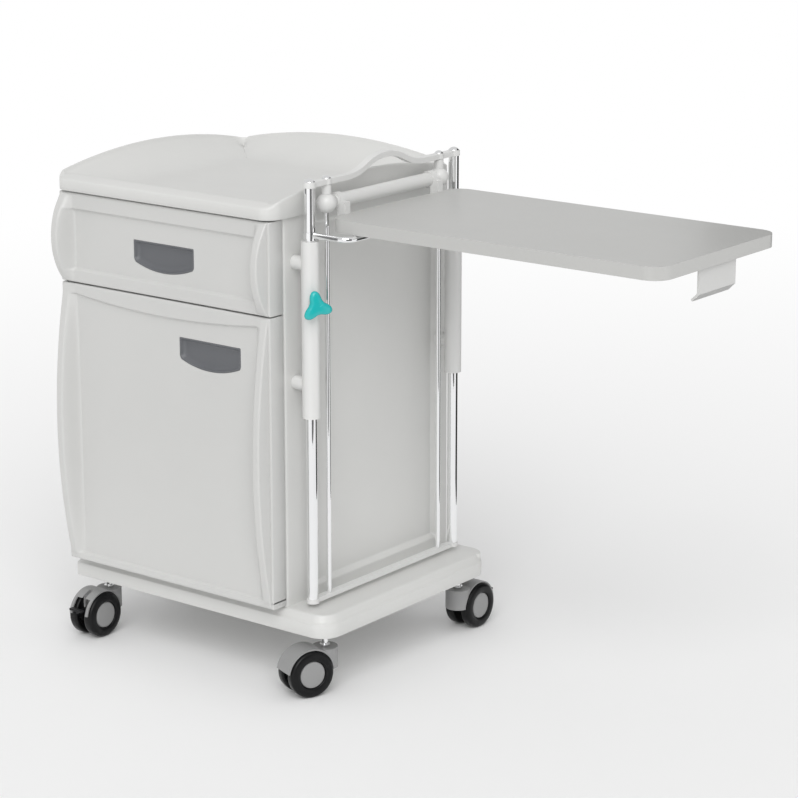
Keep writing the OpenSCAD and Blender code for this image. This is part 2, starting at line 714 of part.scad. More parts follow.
module housing(brake) color([0.55, 0.56, 0.57]) difference() {
  union() {
    cyl(0, 0, wr + 2, 20.5, head_z1 - wr - 2);
    // web between the wheels
    cyl_x(-5.5, -trail, wr, 20, 11);
    bx([-5.5, -trail, wr], [5.5, 0, wr + 22]);
    // hood over both wheels
    difference() {
      cyl_x(-20, -trail, wr, hood_r, 40);
      bx([-21, -trail - 60, -20], [21, -trail + 60, wr + 6]);
      bx([-21, 0, 0], [21, 60, 120]);
    }
  }
  // wheel spaces
  for (s = [-1, 1]) translate([s > 0 ? 6.8 : -26.8, 0, 0]) cyl_x(0, -trail, wr, wr + 1.1, 20);
  cyl(0, 0, wr - 10, stem_r + run, 60);
  cyl_x(-10, -trail, wr, axle_r + 0.02, 20);
  if (brake) {
    // slot for the pedal and its pin
    bx([-14.5, -trail - 60, wr + 5], [14.5, -trail - 20, wr + 31]);
    bx([-3.6, -trail - 60, wr + 1], [3.6, -trail - 6, wr + 60]);
    cyl_x(-10, -trail - 13, wr + 11, 2 + run, 20);
  }
}

module axle() color([0.72, 0.73, 0.75]) cyl_x(-19, -trail, wr, axle_r, 38);

module wheel(s) color([0.12, 0.12, 0.13]) scale([s, 1, 1]) difference() {
  translate([7.6, -trail, wr]) rotate([0, 90, 0]) rotate_extrude($fn = 96)
    polygon([[0, 0], [wr - 4, 0], [wr - 1.2, 1.2], [wr, 4], [wr, 12], [wr - 1.4, 15.2], [wr - 4.5, 17.2],
      [wr - 14, 17.8], [wr - 17, 16.2], [0, 16.2]]);
  cyl_x(6, -trail, wr, axle_r + run, 14);
}

module pedal() color([0.1, 0.1, 0.11]) {
  bx([-3, -trail - wr - 5, wr + 8], [3, -trail - 10, wr + 14]);
  bx([-13.5, -trail - wr - tab_out, wr + 13.5], [13.5, -trail - wr - 2, wr + 17]);
  bx([-3, -trail - wr - 5, wr + 8], [3, -trail - wr - 2, wr + 16]);
  cyl_x(-3, -trail - 13, wr + 11, 4.5, 6);
  cyl_x(-5.4, -trail - 13, wr + 11, 2, 10.8);
}

module caster_fl_housing() at_fl() housing(true);
module caster_fl_axle() at_fl() axle();
module caster_fl_wheel_a() at_fl() wheel(1);
module caster_fl_wheel_b() at_fl() wheel(-1);
module caster_fl_pedal() at_fl() pedal();
module caster_fr_housing() at_fr() housing(false);
module caster_fr_axle() at_fr() axle();
module caster_fr_wheel_a() at_fr() wheel(1);
module caster_fr_wheel_b() at_fr() wheel(-1);
module caster_rr_housing() at_rr() housing(true);
module caster_rr_axle() at_rr() axle();
module caster_rr_wheel_a() at_rr() wheel(1);
module caster_rr_wheel_b() at_rr() wheel(-1);
module caster_rr_pedal() at_rr() pedal();
module caster_rl_housing() at_rl() housing(false);
module caster_rl_axle() at_rl() axle();
module caster_rl_wheel_a() at_rl() wheel(1);
module caster_rl_wheel_b() at_rl() wheel(-1);

base_plate();
side_panel_left();
side_panel_right();
back_panel();
cabinet_floor();
divider();
shelf();
shelf_pegs();
top_tray();
runner_outers();
guide_sleeves();
sleeve_screws();
door_pivots();
door_catch();
caster_stems();
drawer_front();
drawer_box();
drawer_pull();
runner_inners();
drawer_screws();
runner_mids();
door_panel();
door_liner();
door_pull();
door_strike();
lift_posts();
guide_rods();
top_bar();
bottom_bar();
end_caps();
support_loop();
rod_collars();
slide_fittings();
table_board();
tilt_tube();
tilt_brackets();
grip_hook();
table_screws();
clamp_knob();
clamp_stud();
caster_fl_housing();
caster_fl_axle();
caster_fl_wheel_a();
caster_fl_wheel_b();
caster_fl_pedal();
caster_fr_housing();
caster_fr_axle();
caster_fr_wheel_a();
caster_fr_wheel_b();
caster_rr_housing();
caster_rr_axle();
caster_rr_wheel_a();
caster_rr_wheel_b();
caster_rr_pedal();
caster_rl_housing();
caster_rl_axle();
caster_rl_wheel_a();
caster_rl_wheel_b();
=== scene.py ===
import json
import math

import bmesh
import bpy
from mathutils import Matrix, Vector


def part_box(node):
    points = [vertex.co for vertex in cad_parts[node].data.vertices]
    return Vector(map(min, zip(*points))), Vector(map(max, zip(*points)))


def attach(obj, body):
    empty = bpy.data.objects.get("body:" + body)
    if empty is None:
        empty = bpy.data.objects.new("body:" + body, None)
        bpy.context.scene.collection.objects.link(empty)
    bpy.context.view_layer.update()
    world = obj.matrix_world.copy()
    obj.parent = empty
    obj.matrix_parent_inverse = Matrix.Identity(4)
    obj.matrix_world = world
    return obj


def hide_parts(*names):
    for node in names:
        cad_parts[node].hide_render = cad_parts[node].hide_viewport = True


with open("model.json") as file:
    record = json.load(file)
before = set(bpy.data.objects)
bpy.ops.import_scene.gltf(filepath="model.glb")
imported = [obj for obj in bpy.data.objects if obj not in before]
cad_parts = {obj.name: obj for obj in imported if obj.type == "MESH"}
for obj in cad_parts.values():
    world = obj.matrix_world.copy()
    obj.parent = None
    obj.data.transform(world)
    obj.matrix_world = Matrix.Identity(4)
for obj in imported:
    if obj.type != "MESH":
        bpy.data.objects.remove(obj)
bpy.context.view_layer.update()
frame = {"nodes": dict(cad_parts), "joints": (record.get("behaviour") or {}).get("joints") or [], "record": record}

# ---- places in millimetres: Z from the floor, the carcass from LEFT to RIGHT ----

LEFT, RIGHT = -256.0, 181.0
WALL_FRONT, WALL_BACK = -208.0, 210.0
DECK, WALL_TOP = 133.5, 751.5
SKIN, FRONT_BACK = -236.0, -212.0
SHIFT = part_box("side_panel_left")[0] - Vector((LEFT, WALL_FRONT, DECK)) / 1000
JOINTS = {j["name"]: j for j in frame["joints"]}
SLOT_OF = {s["node"]: s["material_slot"] for s in frame["record"]["subparts"]}
BODY_OF = {n: b for b, names in frame["record"]["behaviour"]["bodies"].items() for n in names}


def mm(x, y, z):
    """A point given in millimetres, as a place in the frame."""
    return Vector((x, y, z)) / 1000 + SHIFT


def ease(t):
    """Runs smoothly from 0 to 1 while t does."""
    t = max(0.0, min(1.0, t))
    return t * t * (3 - 2 * t)


# ---- shared finishes ----

def new_group(name, inputs, outputs):
    group = bpy.data.node_groups.new(name, "ShaderNodeTree")
    for socket, kind, value in inputs:
        s = group.interface.new_socket(socket, in_out="INPUT", socket_type=kind)
        s.default_value = value
    for socket, kind in outputs:
        group.interface.new_socket(socket, in_out="OUTPUT", socket_type=kind)
    return group, group.nodes.new("NodeGroupInput"), group.nodes.new("NodeGroupOutput")


def math_node(tree, operation, a, b):
    node = tree.nodes.new("ShaderNodeMath")
    node.operation = operation
    for i, v in enumerate((a, b)):
        if isinstance(v, (int, float)):
            node.inputs[i].default_value = v
        else:
            tree.links.new(v, node.inputs[i])
    return node.outputs[0]


def noise(tree, coords, scale, detail, rough=0.5):
    node = tree.nodes.new("ShaderNodeTexNoise")
    node.inputs["Detail"].default_value = detail
    node.inputs["Roughness"].default_value = rough
    if isinstance(scale, (int, float)):
        node.inputs["Scale"].default_value = scale
    else:
        tree.links.new(scale, node.inputs["Scale"])
    tree.links.new(coords, node.inputs["Vector"])
    return node.outputs[0]


def mix_colour(tree, factor, a, b):
    node = tree.nodes.new("ShaderNodeMix")
    node.data_type = "RGBA"
    for socket, v in ((node.inputs[0], factor), (node.inputs[6], a), (node.inputs[7], b)):
        if isinstance(v, (int, float, tuple)):
            socket.default_value = v
        else:
            tree.links.new(v, socket)
    return node.outputs[2]


def make_grain():
    """Fine moulded or sprayed grain: a height for the bump and an uneven roughness."""
    tree, gi, go = new_group(
        "surface grain",
        [("Scale", "NodeSocketFloat", 900.0), ("Roughness", "NodeSocketFloat", 0.4),
         ("Spread", "NodeSocketFloat", 0.1)],
        [("Height", "NodeSocketFloat"), ("Roughness", "NodeSocketFloat")])
    place = tree.nodes.new("ShaderNodeTexCoord").outputs["Object"]
    fine = noise(tree, place, gi.outputs["Scale"], 3.0)
    cloud = noise(tree, place, 9.0, 4.0, 0.6)
    swing = math_node(tree, "SUBTRACT", cloud, 0.5)
    swing = math_node(tree, "MULTIPLY", swing, gi.outputs["Spread"])
    tree.links.new(fine, go.inputs["Height"])
    tree.links.new(math_node(tree, "ADD", gi.outputs["Roughness"], swing), go.inputs["Roughness"])
    return tree


def make_drift_and_edge_highlight():
    """Colour that drifts a little over the piece at random, plus a painted highlight: convex edges, found by
    pointiness and broken up by noise, turn to the paler edge colour.
    """
    tree, gi, go = new_group(
        "drift and painted edge highlight",
        [("Color", "NodeSocketColor", (0.8, 0.8, 0.8, 1)), ("Drift", "NodeSocketColor", (0.7, 0.7, 0.7, 1)),
         ("Edge", "NodeSocketColor", (0.9, 0.9, 0.9, 1)), ("Amount", "NodeSocketFloat", 0.3)],
        [("Color", "NodeSocketColor"), ("Mask", "NodeSocketFloat")])
    place = tree.nodes.new("ShaderNodeTexCoord").outputs["Object"]
    cloud = noise(tree, place, 6.0, 5.0, 0.62)
    drift = math_node(tree, "MULTIPLY", math_node(tree, "SUBTRACT", cloud, 0.4), 1.6)
    body = mix_colour(tree, drift, gi.outputs["Color"], gi.outputs["Drift"])
    # Painted highlight: this mask picks out convex edges by pointiness, where the paler edge colour is laid on.
    edge = tree.nodes.new("ShaderNodeNewGeometry").outputs["Pointiness"]
    edge = math_node(tree, "MULTIPLY", math_node(tree, "SUBTRACT", edge, 0.52), 9.0)
    broken = math_node(tree, "MULTIPLY", noise(tree, place, 60.0, 3.0, 0.7), 1.5)
    mask = math_node(tree, "MULTIPLY", math_node(tree, "MULTIPLY", edge, broken), gi.outputs["Amount"])
    clamp = tree.nodes.new("ShaderNodeClamp")
    tree.links.new(mask, clamp.inputs["Value"])
    tree.links.new(clamp.outputs[0], go.inputs["Mask"])
    tree.links.new(mix_colour(tree, clamp.outputs[0], body, gi.outputs["Edge"]), go.inputs["Color"])
    return tree


GRAIN, DRIFT_AND_EDGE_HIGHLIGHT = make_grain(), make_drift_and_edge_highlight()

# slot: colour, drift colour, painted edge highlight colour,
#       edge highlight amount, roughness, spread, grain scale, bump, metallic, coat
FINISHES = {
    # Front plastic is set a little darker than the body plastic: painted shade that offsets the stronger light
    # falling on the front faces.
    "front_plastic": (
        (0.59, 0.59, 0.578), (0.565, 0.567, 0.556), (0.75, 0.75, 0.74),
        0.30, 0.36, 0.12, 1400, 0.05, 0, 0.10),
    "body_plastic": (
        (0.65, 0.65, 0.635), (0.62, 0.622, 0.61), (0.74, 0.74, 0.73),
        0.30, 0.40, 0.12, 1400, 0.06, 0, 0.08),
    "inner_plastic": (
        (0.62, 0.62, 0.61), (0.59, 0.59, 0.58), (0.68, 0.68, 0.67),
        0.20, 0.52, 0.12, 1100, 0.10, 0, 0),
    "pull_plastic": (
        (0.135, 0.14, 0.15), (0.115, 0.12, 0.13), (0.20, 0.205, 0.215),
        0.40, 0.42, 0.14, 1300, 0.12, 0, 0),
    "runner_steel": (
        (0.60, 0.61, 0.62), (0.52, 0.53, 0.55), (0.72, 0.73, 0.74),
        0.35, 0.34, 0.20, 700, 0.04, 1, 0),
    "screw_steel": (
        (0.66, 0.67, 0.68), (0.56, 0.57, 0.58), (0.78, 0.78, 0.79),
        0.35, 0.28, 0.18, 900, 0.03, 1, 0),
    "black_plastic": (
        (0.006, 0.006, 0.007), (0.009, 0.009, 0.010), (0.03, 0.03, 0.033),
        0.45, 0.34, 0.16, 1200, 0.10, 0, 0),
    "chromed_steel": (
        (0.95, 0.955, 0.96), (0.90, 0.905, 0.915), (0.98, 0.98, 0.98),
        0.20, 0.035, 0.03, 300, 0.004, 1, 0),
    "white_coated": (
        (0.70, 0.70, 0.69), (0.67, 0.67, 0.66), (0.76, 0.76, 0.75),
        0.30, 0.34, 0.14, 1000, 0.05, 0, 0.15),
    "board_laminate": (
        (0.50, 0.50, 0.487), (0.478, 0.478, 0.465), (0.64, 0.64, 0.63),
        0.35, 0.38, 0.10, 1500, 0.08, 0, 0.05),
    "hook_plastic": (
        (0.60, 0.60, 0.59), (0.57, 0.57, 0.56), (0.68, 0.68, 0.67),
        0.30, 0.34, 0.12, 1400, 0.05, 0, 0.08),
    "turquoise_plastic": (
        (0.004, 0.44, 0.44), (0.004, 0.40, 0.40), (0.10, 0.66, 0.63),
        0.45, 0.22, 0.12, 1200, 0.04, 0, 0.35),
    "caster_grey": (
        (0.29, 0.29, 0.29), (0.265, 0.265, 0.266), (0.38, 0.38, 0.38),
        0.40, 0.40, 0.16, 1200, 0.08, 0, 0),
    "wheel_tread": (
        (0.004, 0.004, 0.0045), (0.007, 0.007, 0.0075), (0.02, 0.02, 0.021),
        0.40, 0.30, 0.22, 800, 0.08, 0, 0),
}
DULL_BLACK = ("wheel_tread", "black_plastic")


def make_finish(slot):
    colour, drift, edge, edge_highlight_amount, rough, spread, scale, bump, metal, coat = FINISHES[slot]
    mat = bpy.data.materials.new(slot)
    mat.use_nodes = True
    tree = mat.node_tree
    shader = tree.nodes["Principled BSDF"]
    edge_lit = tree.nodes.new("ShaderNodeGroup")
    edge_lit.node_tree = DRIFT_AND_EDGE_HIGHLIGHT
    edge_lit.inputs["Color"].default_value = (*colour, 1)
    edge_lit.inputs["Drift"].default_value = (*drift, 1)
    # The edge colour is a painted highlight on convex edges, not wear.
    edge_lit.inputs["Edge"].default_value = (*edge, 1)
    edge_lit.inputs["Amount"].default_value = edge_highlight_amount
    grain = tree.nodes.new("ShaderNodeGroup")
    grain.node_tree = GRAIN
    grain.inputs["Scale"].default_value = scale
    grain.inputs["Roughness"].default_value = rough
    grain.inputs["Spread"].default_value = spread
    relief = tree.nodes.new("ShaderNodeBump")
    relief.inputs["Strength"].default_value = bump
    relief.inputs["Distance"].default_value = 0.001
    tree.links.new(edge_lit.outputs["Color"], shader.inputs["Base Color"])
    tree.links.new(grain.outputs["Roughness"], shader.inputs["Roughness"])
    tree.links.new(grain.outputs["Height"], relief.inputs["Height"])
    tree.links.new(relief.outputs["Normal"], shader.inputs["Normal"])
    shader.inputs["Metallic"].default_value = metal
    shader.inputs["Coat Weight"].default_value = coat
    shader.inputs["Coat Roughness"].default_value = 0.12
    if slot in DULL_BLACK:
        shader.inputs["Specular IOR Level"].default_value = 0.25
    return mat


MATERIALS = {slot: make_finish(slot) for slot in FINISHES}
for node, obj in frame["nodes"].items():
    obj.data.materials.clear()
    obj.data.materials.append(MATERIALS[SLOT_OF[node]])


# ---- making pieces ----

def new_object(name, bm):
    """Hands a bmesh over to a new object in the scene."""
    mesh = bpy.data.meshes.new(name)
    bm.to_mesh(mesh)
    bm.free()
    obj = bpy.data.objects.new(name, mesh)
    bpy.context.scene.collection.objects.link(obj)
    return obj


def put_away(name, bm, body, slot, nodes=(), angle=38, scale_mm=True):
    """Turns a finished bmesh, in millimetres, into a piece that rides on a body."""
    if scale_mm:
        for v in bm.verts:
            v.co = mm(*v.co)
    piece = new_object(name, bm)
    mesh = piece.data
    mesh.polygons.foreach_set("use_smooth", [True] * len(mesh.polygons))
    mesh.set_sharp_from_angle(angle=math.radians(angle))
    mesh.materials.append(MATERIALS[slot])
    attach(piece, body)
    if nodes:
        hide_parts(*nodes)
    return piece


def settle(bm, dist=0.0005):
    """Joins doubled vertices and turns the faces outward."""
    bmesh.ops.remove_doubles(bm, verts=bm.verts, dist=dist)
    bmesh.ops.recalc_face_normals(bm, faces=bm.faces)


def soften(node, width, segments=3, angle=35):
    """A copy of a frame node with its sharp edges rounded by width millimetres and its flats kept flat."""
    bm = bmesh.new()
    bm.from_mesh(frame["nodes"][node].data)
    bmesh.ops.remove_doubles(bm, verts=bm.verts, dist=0.000004)
    bmesh.ops.dissolve_limit(bm, angle_limit=math.radians(0.6), verts=bm.verts, edges=bm.edges)
    piece = put_away(node + "_soft", bm, BODY_OF[node], SLOT_OF[node], (node,), 180, scale_mm=False)
    rounding = piece.modifiers.new("rounding", "BEVEL")
    rounding.width = width / 1000
    rounding.segments = segments
    rounding.limit_method = "ANGLE"
    rounding.angle_limit = math.radians(angle)
    rounding.miter_outer = "MITER_ARC"
    shading = piece.modifiers.new("shading", "WEIGHTED_NORMAL")
    shading.weight = 80
    return piece


def bake_modifiers(piece):
    depsgraph = bpy.context.evaluated_depsgraph_get()
    mesh = bpy.data.meshes.new_from_object(piece.evaluated_get(depsgraph))
    piece.modifiers.clear()
    piece.data = mesh


def grid_sheet(columns, rows, place):
    """A grid whose vertex (i, j) goes to place(columns[i], rows[j])."""
    bm = bmesh.new()
    bmesh.ops.create_grid(bm, x_segments=len(columns) - 1, y_segments=len(rows) - 1, size=1)
    for v in bm.verts:
        i = round((v.co.x + 1) / 2 * (len(columns) - 1))
        j = round((v.co.y + 1) / 2 * (len(rows) - 1))
        v.co = place(columns[i], rows[j])
    return bm


def rim_of(bm):
    return [e for e in bm.edges if e.is_boundary]


def verts_of(made):
    return [g for g in made["geom"] if isinstance(g, bmesh.types.BMVert)]


def pull_rim(bm, move):
    """Extrudes the open rim and puts each new vertex where move says."""
    made = bmesh.ops.extrude_edge_only(bm, edges=rim_of(bm))
    for v in verts_of(made):
        v.co = Vector(move(v.co))


def close_rim(bm):
    bmesh.ops.remove_doubles(bm, verts=bm.verts, dist=0.0005)
    bmesh.ops.holes_fill(bm, edges=rim_of(bm), sides=0)


def quarter(radius, steps=6):
    """Offsets that step evenly round a quarter circle."""
    return [radius * (1 - math.cos(math.radians(90 * k / steps))) for k in range(steps + 1)]


def round_over(d, radius):
    """How far a rounded edge falls back at a distance d from it."""
    return radius - math.sqrt(max(0.0, radius ** 2 - (radius - d) ** 2)) if d < radius else 0.0


def mirrored(offsets, width, middle):
    """Offsets from one edge, even steps over the middle, and the same offsets from the other edge."""
    a, b = offsets[-1], width - offsets[-1]
    steps = max(2, round((b - a) / middle))
    inner = [a + (b - a) * k / steps for k in range(1, steps)]
    return list(offsets) + inner + [width - o for o in reversed(offsets)]


def loft(rings):
    """A skin through rings that all have the same number of points, closed at both ends."""
    bm = bmesh.new()
    ring = bmesh.ops.create_circle(bm, segments=len(rings[0]), radius=1, cap_ends=True)["verts"]
    edges = list({e for v in ring for e in v.link_edges})
    for v, place in zip(ring, rings[0]):
        v.co = place
    for places in rings[1:]:
        made = bmesh.ops.extrude_edge_only(bm, edges=edges)
        edges = [g for g in made["geom"] if isinstance(g, bmesh.types.BMEdge)]
        top = {v for e in edges for v in e.verts}
        ring = [next(e.other_vert(v) for e in v.link_edges if e.other_vert(v) in top) for v in ring]
        for v, place in zip(ring, places):
            v.co = place
    bmesh.ops.holes_fill(bm, edges=rim_of(bm), sides=0)
    settle(bm)
    return bm


# ---- drawer and door fronts ----

PULL_W, PULL_H, PULL_BOW = 126.0, 47.0, 13.0


def d_outline(gap, corner=6.0, top=1.5):
    """Straight top, rounded lower corners and a bowed bottom, centred on the middle of the top edge."""
    w, points = PULL_W / 2 - gap, []
    r = (w * w + PULL_BOW ** 2) / (2 * PULL_BOW)
    side = PULL_BOW - PULL_H + gap

    def bow_z(x):
        return gap - PULL_H + r - math.sqrt(r * r - x * x)

    def turned(k):
        """Inset and height, k sixths of the way round a lower corner."""
        a = math.radians(90 * k / 6)
        z = side + corner * 0.9 * (1 - math.sin(a)) + (bow_z(w - corner) - side) * ease(k / 6)
        return corner * (1 - math.cos(a)), z

    lower = [turned(k) for k in range(7)]
    turns = (0.0, 0.8, 1.57)
    points += [(-w + top * (1 - math.cos(a)), -gap - top * (1 - math.sin(a))) for a in turns]
    points += [(w - top * (1 - math.sin(a)), -gap - top * (1 - math.cos(a))) for a in turns]
    points += [(w - d, z) for d, z in lower]
    points += [(x, bow_z(x)) for x in [(w - corner) * (1 - k / 9) for k in range(1, 18)]]
    points += [(-w + d, z) for d, z in reversed(lower)]
    return points


def d_face(bm, x0, y, z0, gap):
    return bm.faces.new([bm.verts.new((x0 + x, y, z0 + z)) for x, z in d_outline(gap)])


def make_front(node, z_lo, z_hi, drop, bow, foot, pull_x, pull_z):
    """A moulded front: recessed panel, raised rails, crescent fins at both edges and a hollow back."""
    width, height = RIGHT - LEFT, z_hi - z_lo
    rise, rail_out = 26.0, 5
    border, ridge, crest_in, fin_fall = 3.5, 2.7, 14.5, 16.5
    side, end, most_fall = 2.5, 3.0, 3.5
    lip, turned_in, wall = 3.2, 0.7, 12
    big = (height ** 2 / 4 + rise ** 2) / (2 * rise)
    outer = [0, 0.1, 0.3, 0.7, 1.2, 1.8, 2.5, 3.4, 3.5, 3.6, 3.9, 4.4, 5.0, 5.7, 6.2, 9, 12, 13.5]
    inner = [14.6, 15.6, 16.6, 17.6, 18.6, 19.8, 21, 22.2, 23.4, 24.6, 25.8, 27, 28.2, 29.4, 30.8]
    columns = mirrored(outer + inner + [32.5, 35, 39, 45, 55], width, 22)
    low = quarter(end) + [5, 8, 11] + [foot - 6 + k * 0.8 for k in range(10)] + [foot + 4, foot + 9]
    top = quarter(end) + [4.5, 6] + [drop + 1 + k * 0.8 for k in range(9)] + [drop + 10, drop + 14, drop + 20]
    steps = round((height - low[-1] - top[-1]) / 6)
    span = height - low[-1] - top[-1]
    rows = low + [low[-1] + span * k / steps for k in range(1, steps)] + [height - t for t in reversed(top)]

    def place(a, b):
        x = LEFT + a
        edge = min(a, width - a)
        up = height - b
        bend = bow * max(0.0, 1 - ((a - width / 2) / (width / 2 - 30)) ** 2)
        follow = ease(up / (drop + 1)) if up <= drop + 10 else ease(1 - (up - drop - 10) / 90)
        z = z_lo + b - bend * follow
        rail = max(ease((foot - b) / 5), ease((drop + 7 - up) / 5))
        crest = rail_out + math.sqrt(big ** 2 - (b - height / 2) ** 2) - (big - rise)
        fin = 0.5 + 0.5 * math.cos(math.pi * max(0.0, min(1.0, (edge - crest_in) / fin_fall)))
        out = rail_out * rail + (crest - rail_out * rail) * fin
        if edge < border:
            out = rail_out
        elif edge < border + ridge:
            out = crest - round_over(edge - border, ridge) * min(1, (crest - rail_out) / ridge)
        fall = math.hypot(round_over(edge, side), round_over(min(b, up), end))
        return x, SKIN - out + min(fall, most_fall), z

    def back(c):
        """The back edge: further back along the sides that close against the carcass."""
        closing = c.x > RIGHT - 0.1 or (node == "drawer_front" and c.x < LEFT + 0.1)
        return FRONT_BACK + (lip if closing else 0)

    def chamfer(c):
        x = c.x + (turned_in if c.x < 0 else -turned_in)
        return x, back(c), c.z + (turned_in if c.z < z_lo + 9 else -turned_in)

    def hollow(c, y):
        return max(LEFT + 22, min(RIGHT - wall, c.x)), y, max(z_lo + wall, min(z_hi - wall, c.z))

    bm = grid_sheet(columns, rows, place)
    pull_rim(bm, lambda c: (c.x, back(c) - turned_in, c.z))
    pull_rim(bm, chamfer)
    pull_rim(bm, lambda c: hollow(c, FRONT_BACK))
    pull_rim(bm, lambda c: hollow(c, SKIN + 5))
    close_rim(bm)
    settle(bm)
    piece = put_away(node + "_moulded", bm, BODY_OF[node], "front_plastic", (node,), 50)

    cut = bmesh.new()
    face = d_face(cut, pull_x, SKIN + 11, pull_z, 0)
    made = bmesh.ops.extrude_face_region(cut, geom=[face])
    bmesh.ops.translate(cut, vec=(0, -60, 0), verts=verts_of(made))
    bmesh.ops.recalc_face_normals(cut, faces=cut.faces)
    for v in cut.verts:
        v.co = mm(*v.co)
    cutter = new_object("pocket_cutter", cut)
    pocket = piece.modifiers.new("pocket", "BOOLEAN")
    pocket.object = cutter
    pocket.solver = "EXACT"
    bake_modifiers(piece)
    bpy.data.objects.remove(cutter)
    return piece


def make_pull(node, x0, z0):
    """A dark cup with a thin rim and a scooped face."""
    levels = ((0.3, 15.0), (0.3, 0.4), (0.6, -0.2), (1.3, -0.5), (2.2, -0.3), (2.9, 0.6),
              (3.6, 2.4), (4.8, 4.2), (6.6, 5.4), (9.0, 6.0), (12.0, 6.2))
    rings = [[(x0 + x, SKIN + deep, z0 + z) for x, z in d_outline(gap)] for gap, deep in levels]
    return put_away(node + "_cup", loft(rings), BODY_OF[node], "pull_plastic", (node,), 55)


# the two fronts come nearer to each other than their nodes do, by a seam each
seam = 0.8
drawer_z0, front_top = 604.5, 748.5
door_z0, door_top = 137.0, 600.5
drawer_pull_at = ((LEFT + RIGHT) / 2, front_top - 60)
door_pull_at = (RIGHT - 63 - PULL_W / 2, door_top - 55)
make_front("drawer_front", drawer_z0 - seam, front_top, 22, 0, 24, *drawer_pull_at)
make_front("door_panel", door_z0, door_top + seam, 12, 12, 15, *door_pull_at)
make_pull("drawer_pull", *drawer_pull_at)
make_pull("door_pull", *door_pull_at)


# ---- side walls with a soft recess ----

def make_wall(node, face_x, inner_x):
    """A wall whose outer face sweeps into a shallow recess behind the front pillar."""
    turn = 1 if face_x > inner_x else -1
    depth, reach = 9.0, WALL_BACK - WALL_FRONT
    pillar, sweep_length, rounding = 35, 75, 5
    edge = quarter(rounding)
    front = edge + [10, 18, 26, 32] + [pillar + 5 * k for k in range(16)]
    back = edge + [12, 20, 26, 29.5, 30.5, 31.3, 32, 32.8, 33.6, 34.4, 35.2, 36, 37, 38.5, 42, 50]
    along = front + [130, 160, 190, 230, 270, 310, 350] + [reach - b for b in reversed(back)]
    along = sorted(set(round(a, 3) for a in along))
    ends = [0, 6, 12, 15, 16, 17, 18, 19, 20, 21, 22, 23, 24, 25, 27, 30, 36, 46]
    up = mirrored(ends, WALL_TOP - DECK, 40)

    def place(a, b):
        sweep = ease((a - pillar) / sweep_length)
        sweep = min(sweep, ease((reach - a - 31) / 6))
        floor = ease((min(b, WALL_TOP - DECK - b) - 16) / 8)
        rounded = round_over(a, rounding) + round_over(reach - a, rounding) * 0.8
        fall = depth * sweep * floor + rounded
        return face_x - turn * fall, WALL_FRONT + a, DECK + b

    bm = grid_sheet(along, up, place)
    pull_rim(bm, lambda c: (inner_x, c.y, c.z))
    close_rim(bm)
    settle(bm)
    return put_away(node + "_moulded", bm, "cabinet", "body_plastic", (node,), 40)


make_wall("side_panel_right", RIGHT, RIGHT - 18)
make_wall("side_panel_left", LEFT, LEFT + 18)


# ---- loops round a rounded rectangle ----

def rounded_loop(x0, x1, y0, y1, radius, left=None, corner=10, side=28):
    """Points round the outline, each with its outward direction; left is the radius of the corners at x0."""
    points = []
    left = left or radius
    corners = [(x1 - radius, y0 + radius, radius, -90), (x1 - radius, y1 - radius, radius, 0),
               (x0 + left, y1 - left, left, 90), (x0 + left, y0 + left, left, 180)]
    for n, (cx, cy, r, start) in enumerate(corners):
        for k in range(corner + 1):
            a = math.radians(start + 90 * k / corner)
            points.append((cx + r * math.cos(a), cy + r * math.sin(a), math.cos(a), math.sin(a)))
        nx, ny, nr, _ = corners[(n + 1) % 4]
        ax, ay = points[-1][:2]
        bx, by = nx + nr * math.cos(a), ny + nr * math.sin(a)
        for k in range(1, side):
            t = k / side
            points.append((ax + (bx - ax) * t, ay + (by - ay) * t, math.cos(a), math.sin(a)))
    return points


def stack_loops(points, levels):
    """Lofts loops round the same outline; each level gives (inset, z) for a point, from the first up."""
    x0, x1 = min(p[0] for p in points), max(p[0] for p in points)
    y0, y1 = min(p[1] for p in points), max(p[1] for p in points)
    rings = []
    for level in levels:
        ring = []
        for x, y, ox, oy in points:
            inset, z = level(x, y)
            ring.append((max(x0 + inset, min(x1 - inset, x - ox * inset)),
                         max(y0 + inset, min(y1 - inset, y - oy * inset)), z))
        rings.append(ring)
    return loft(rings)


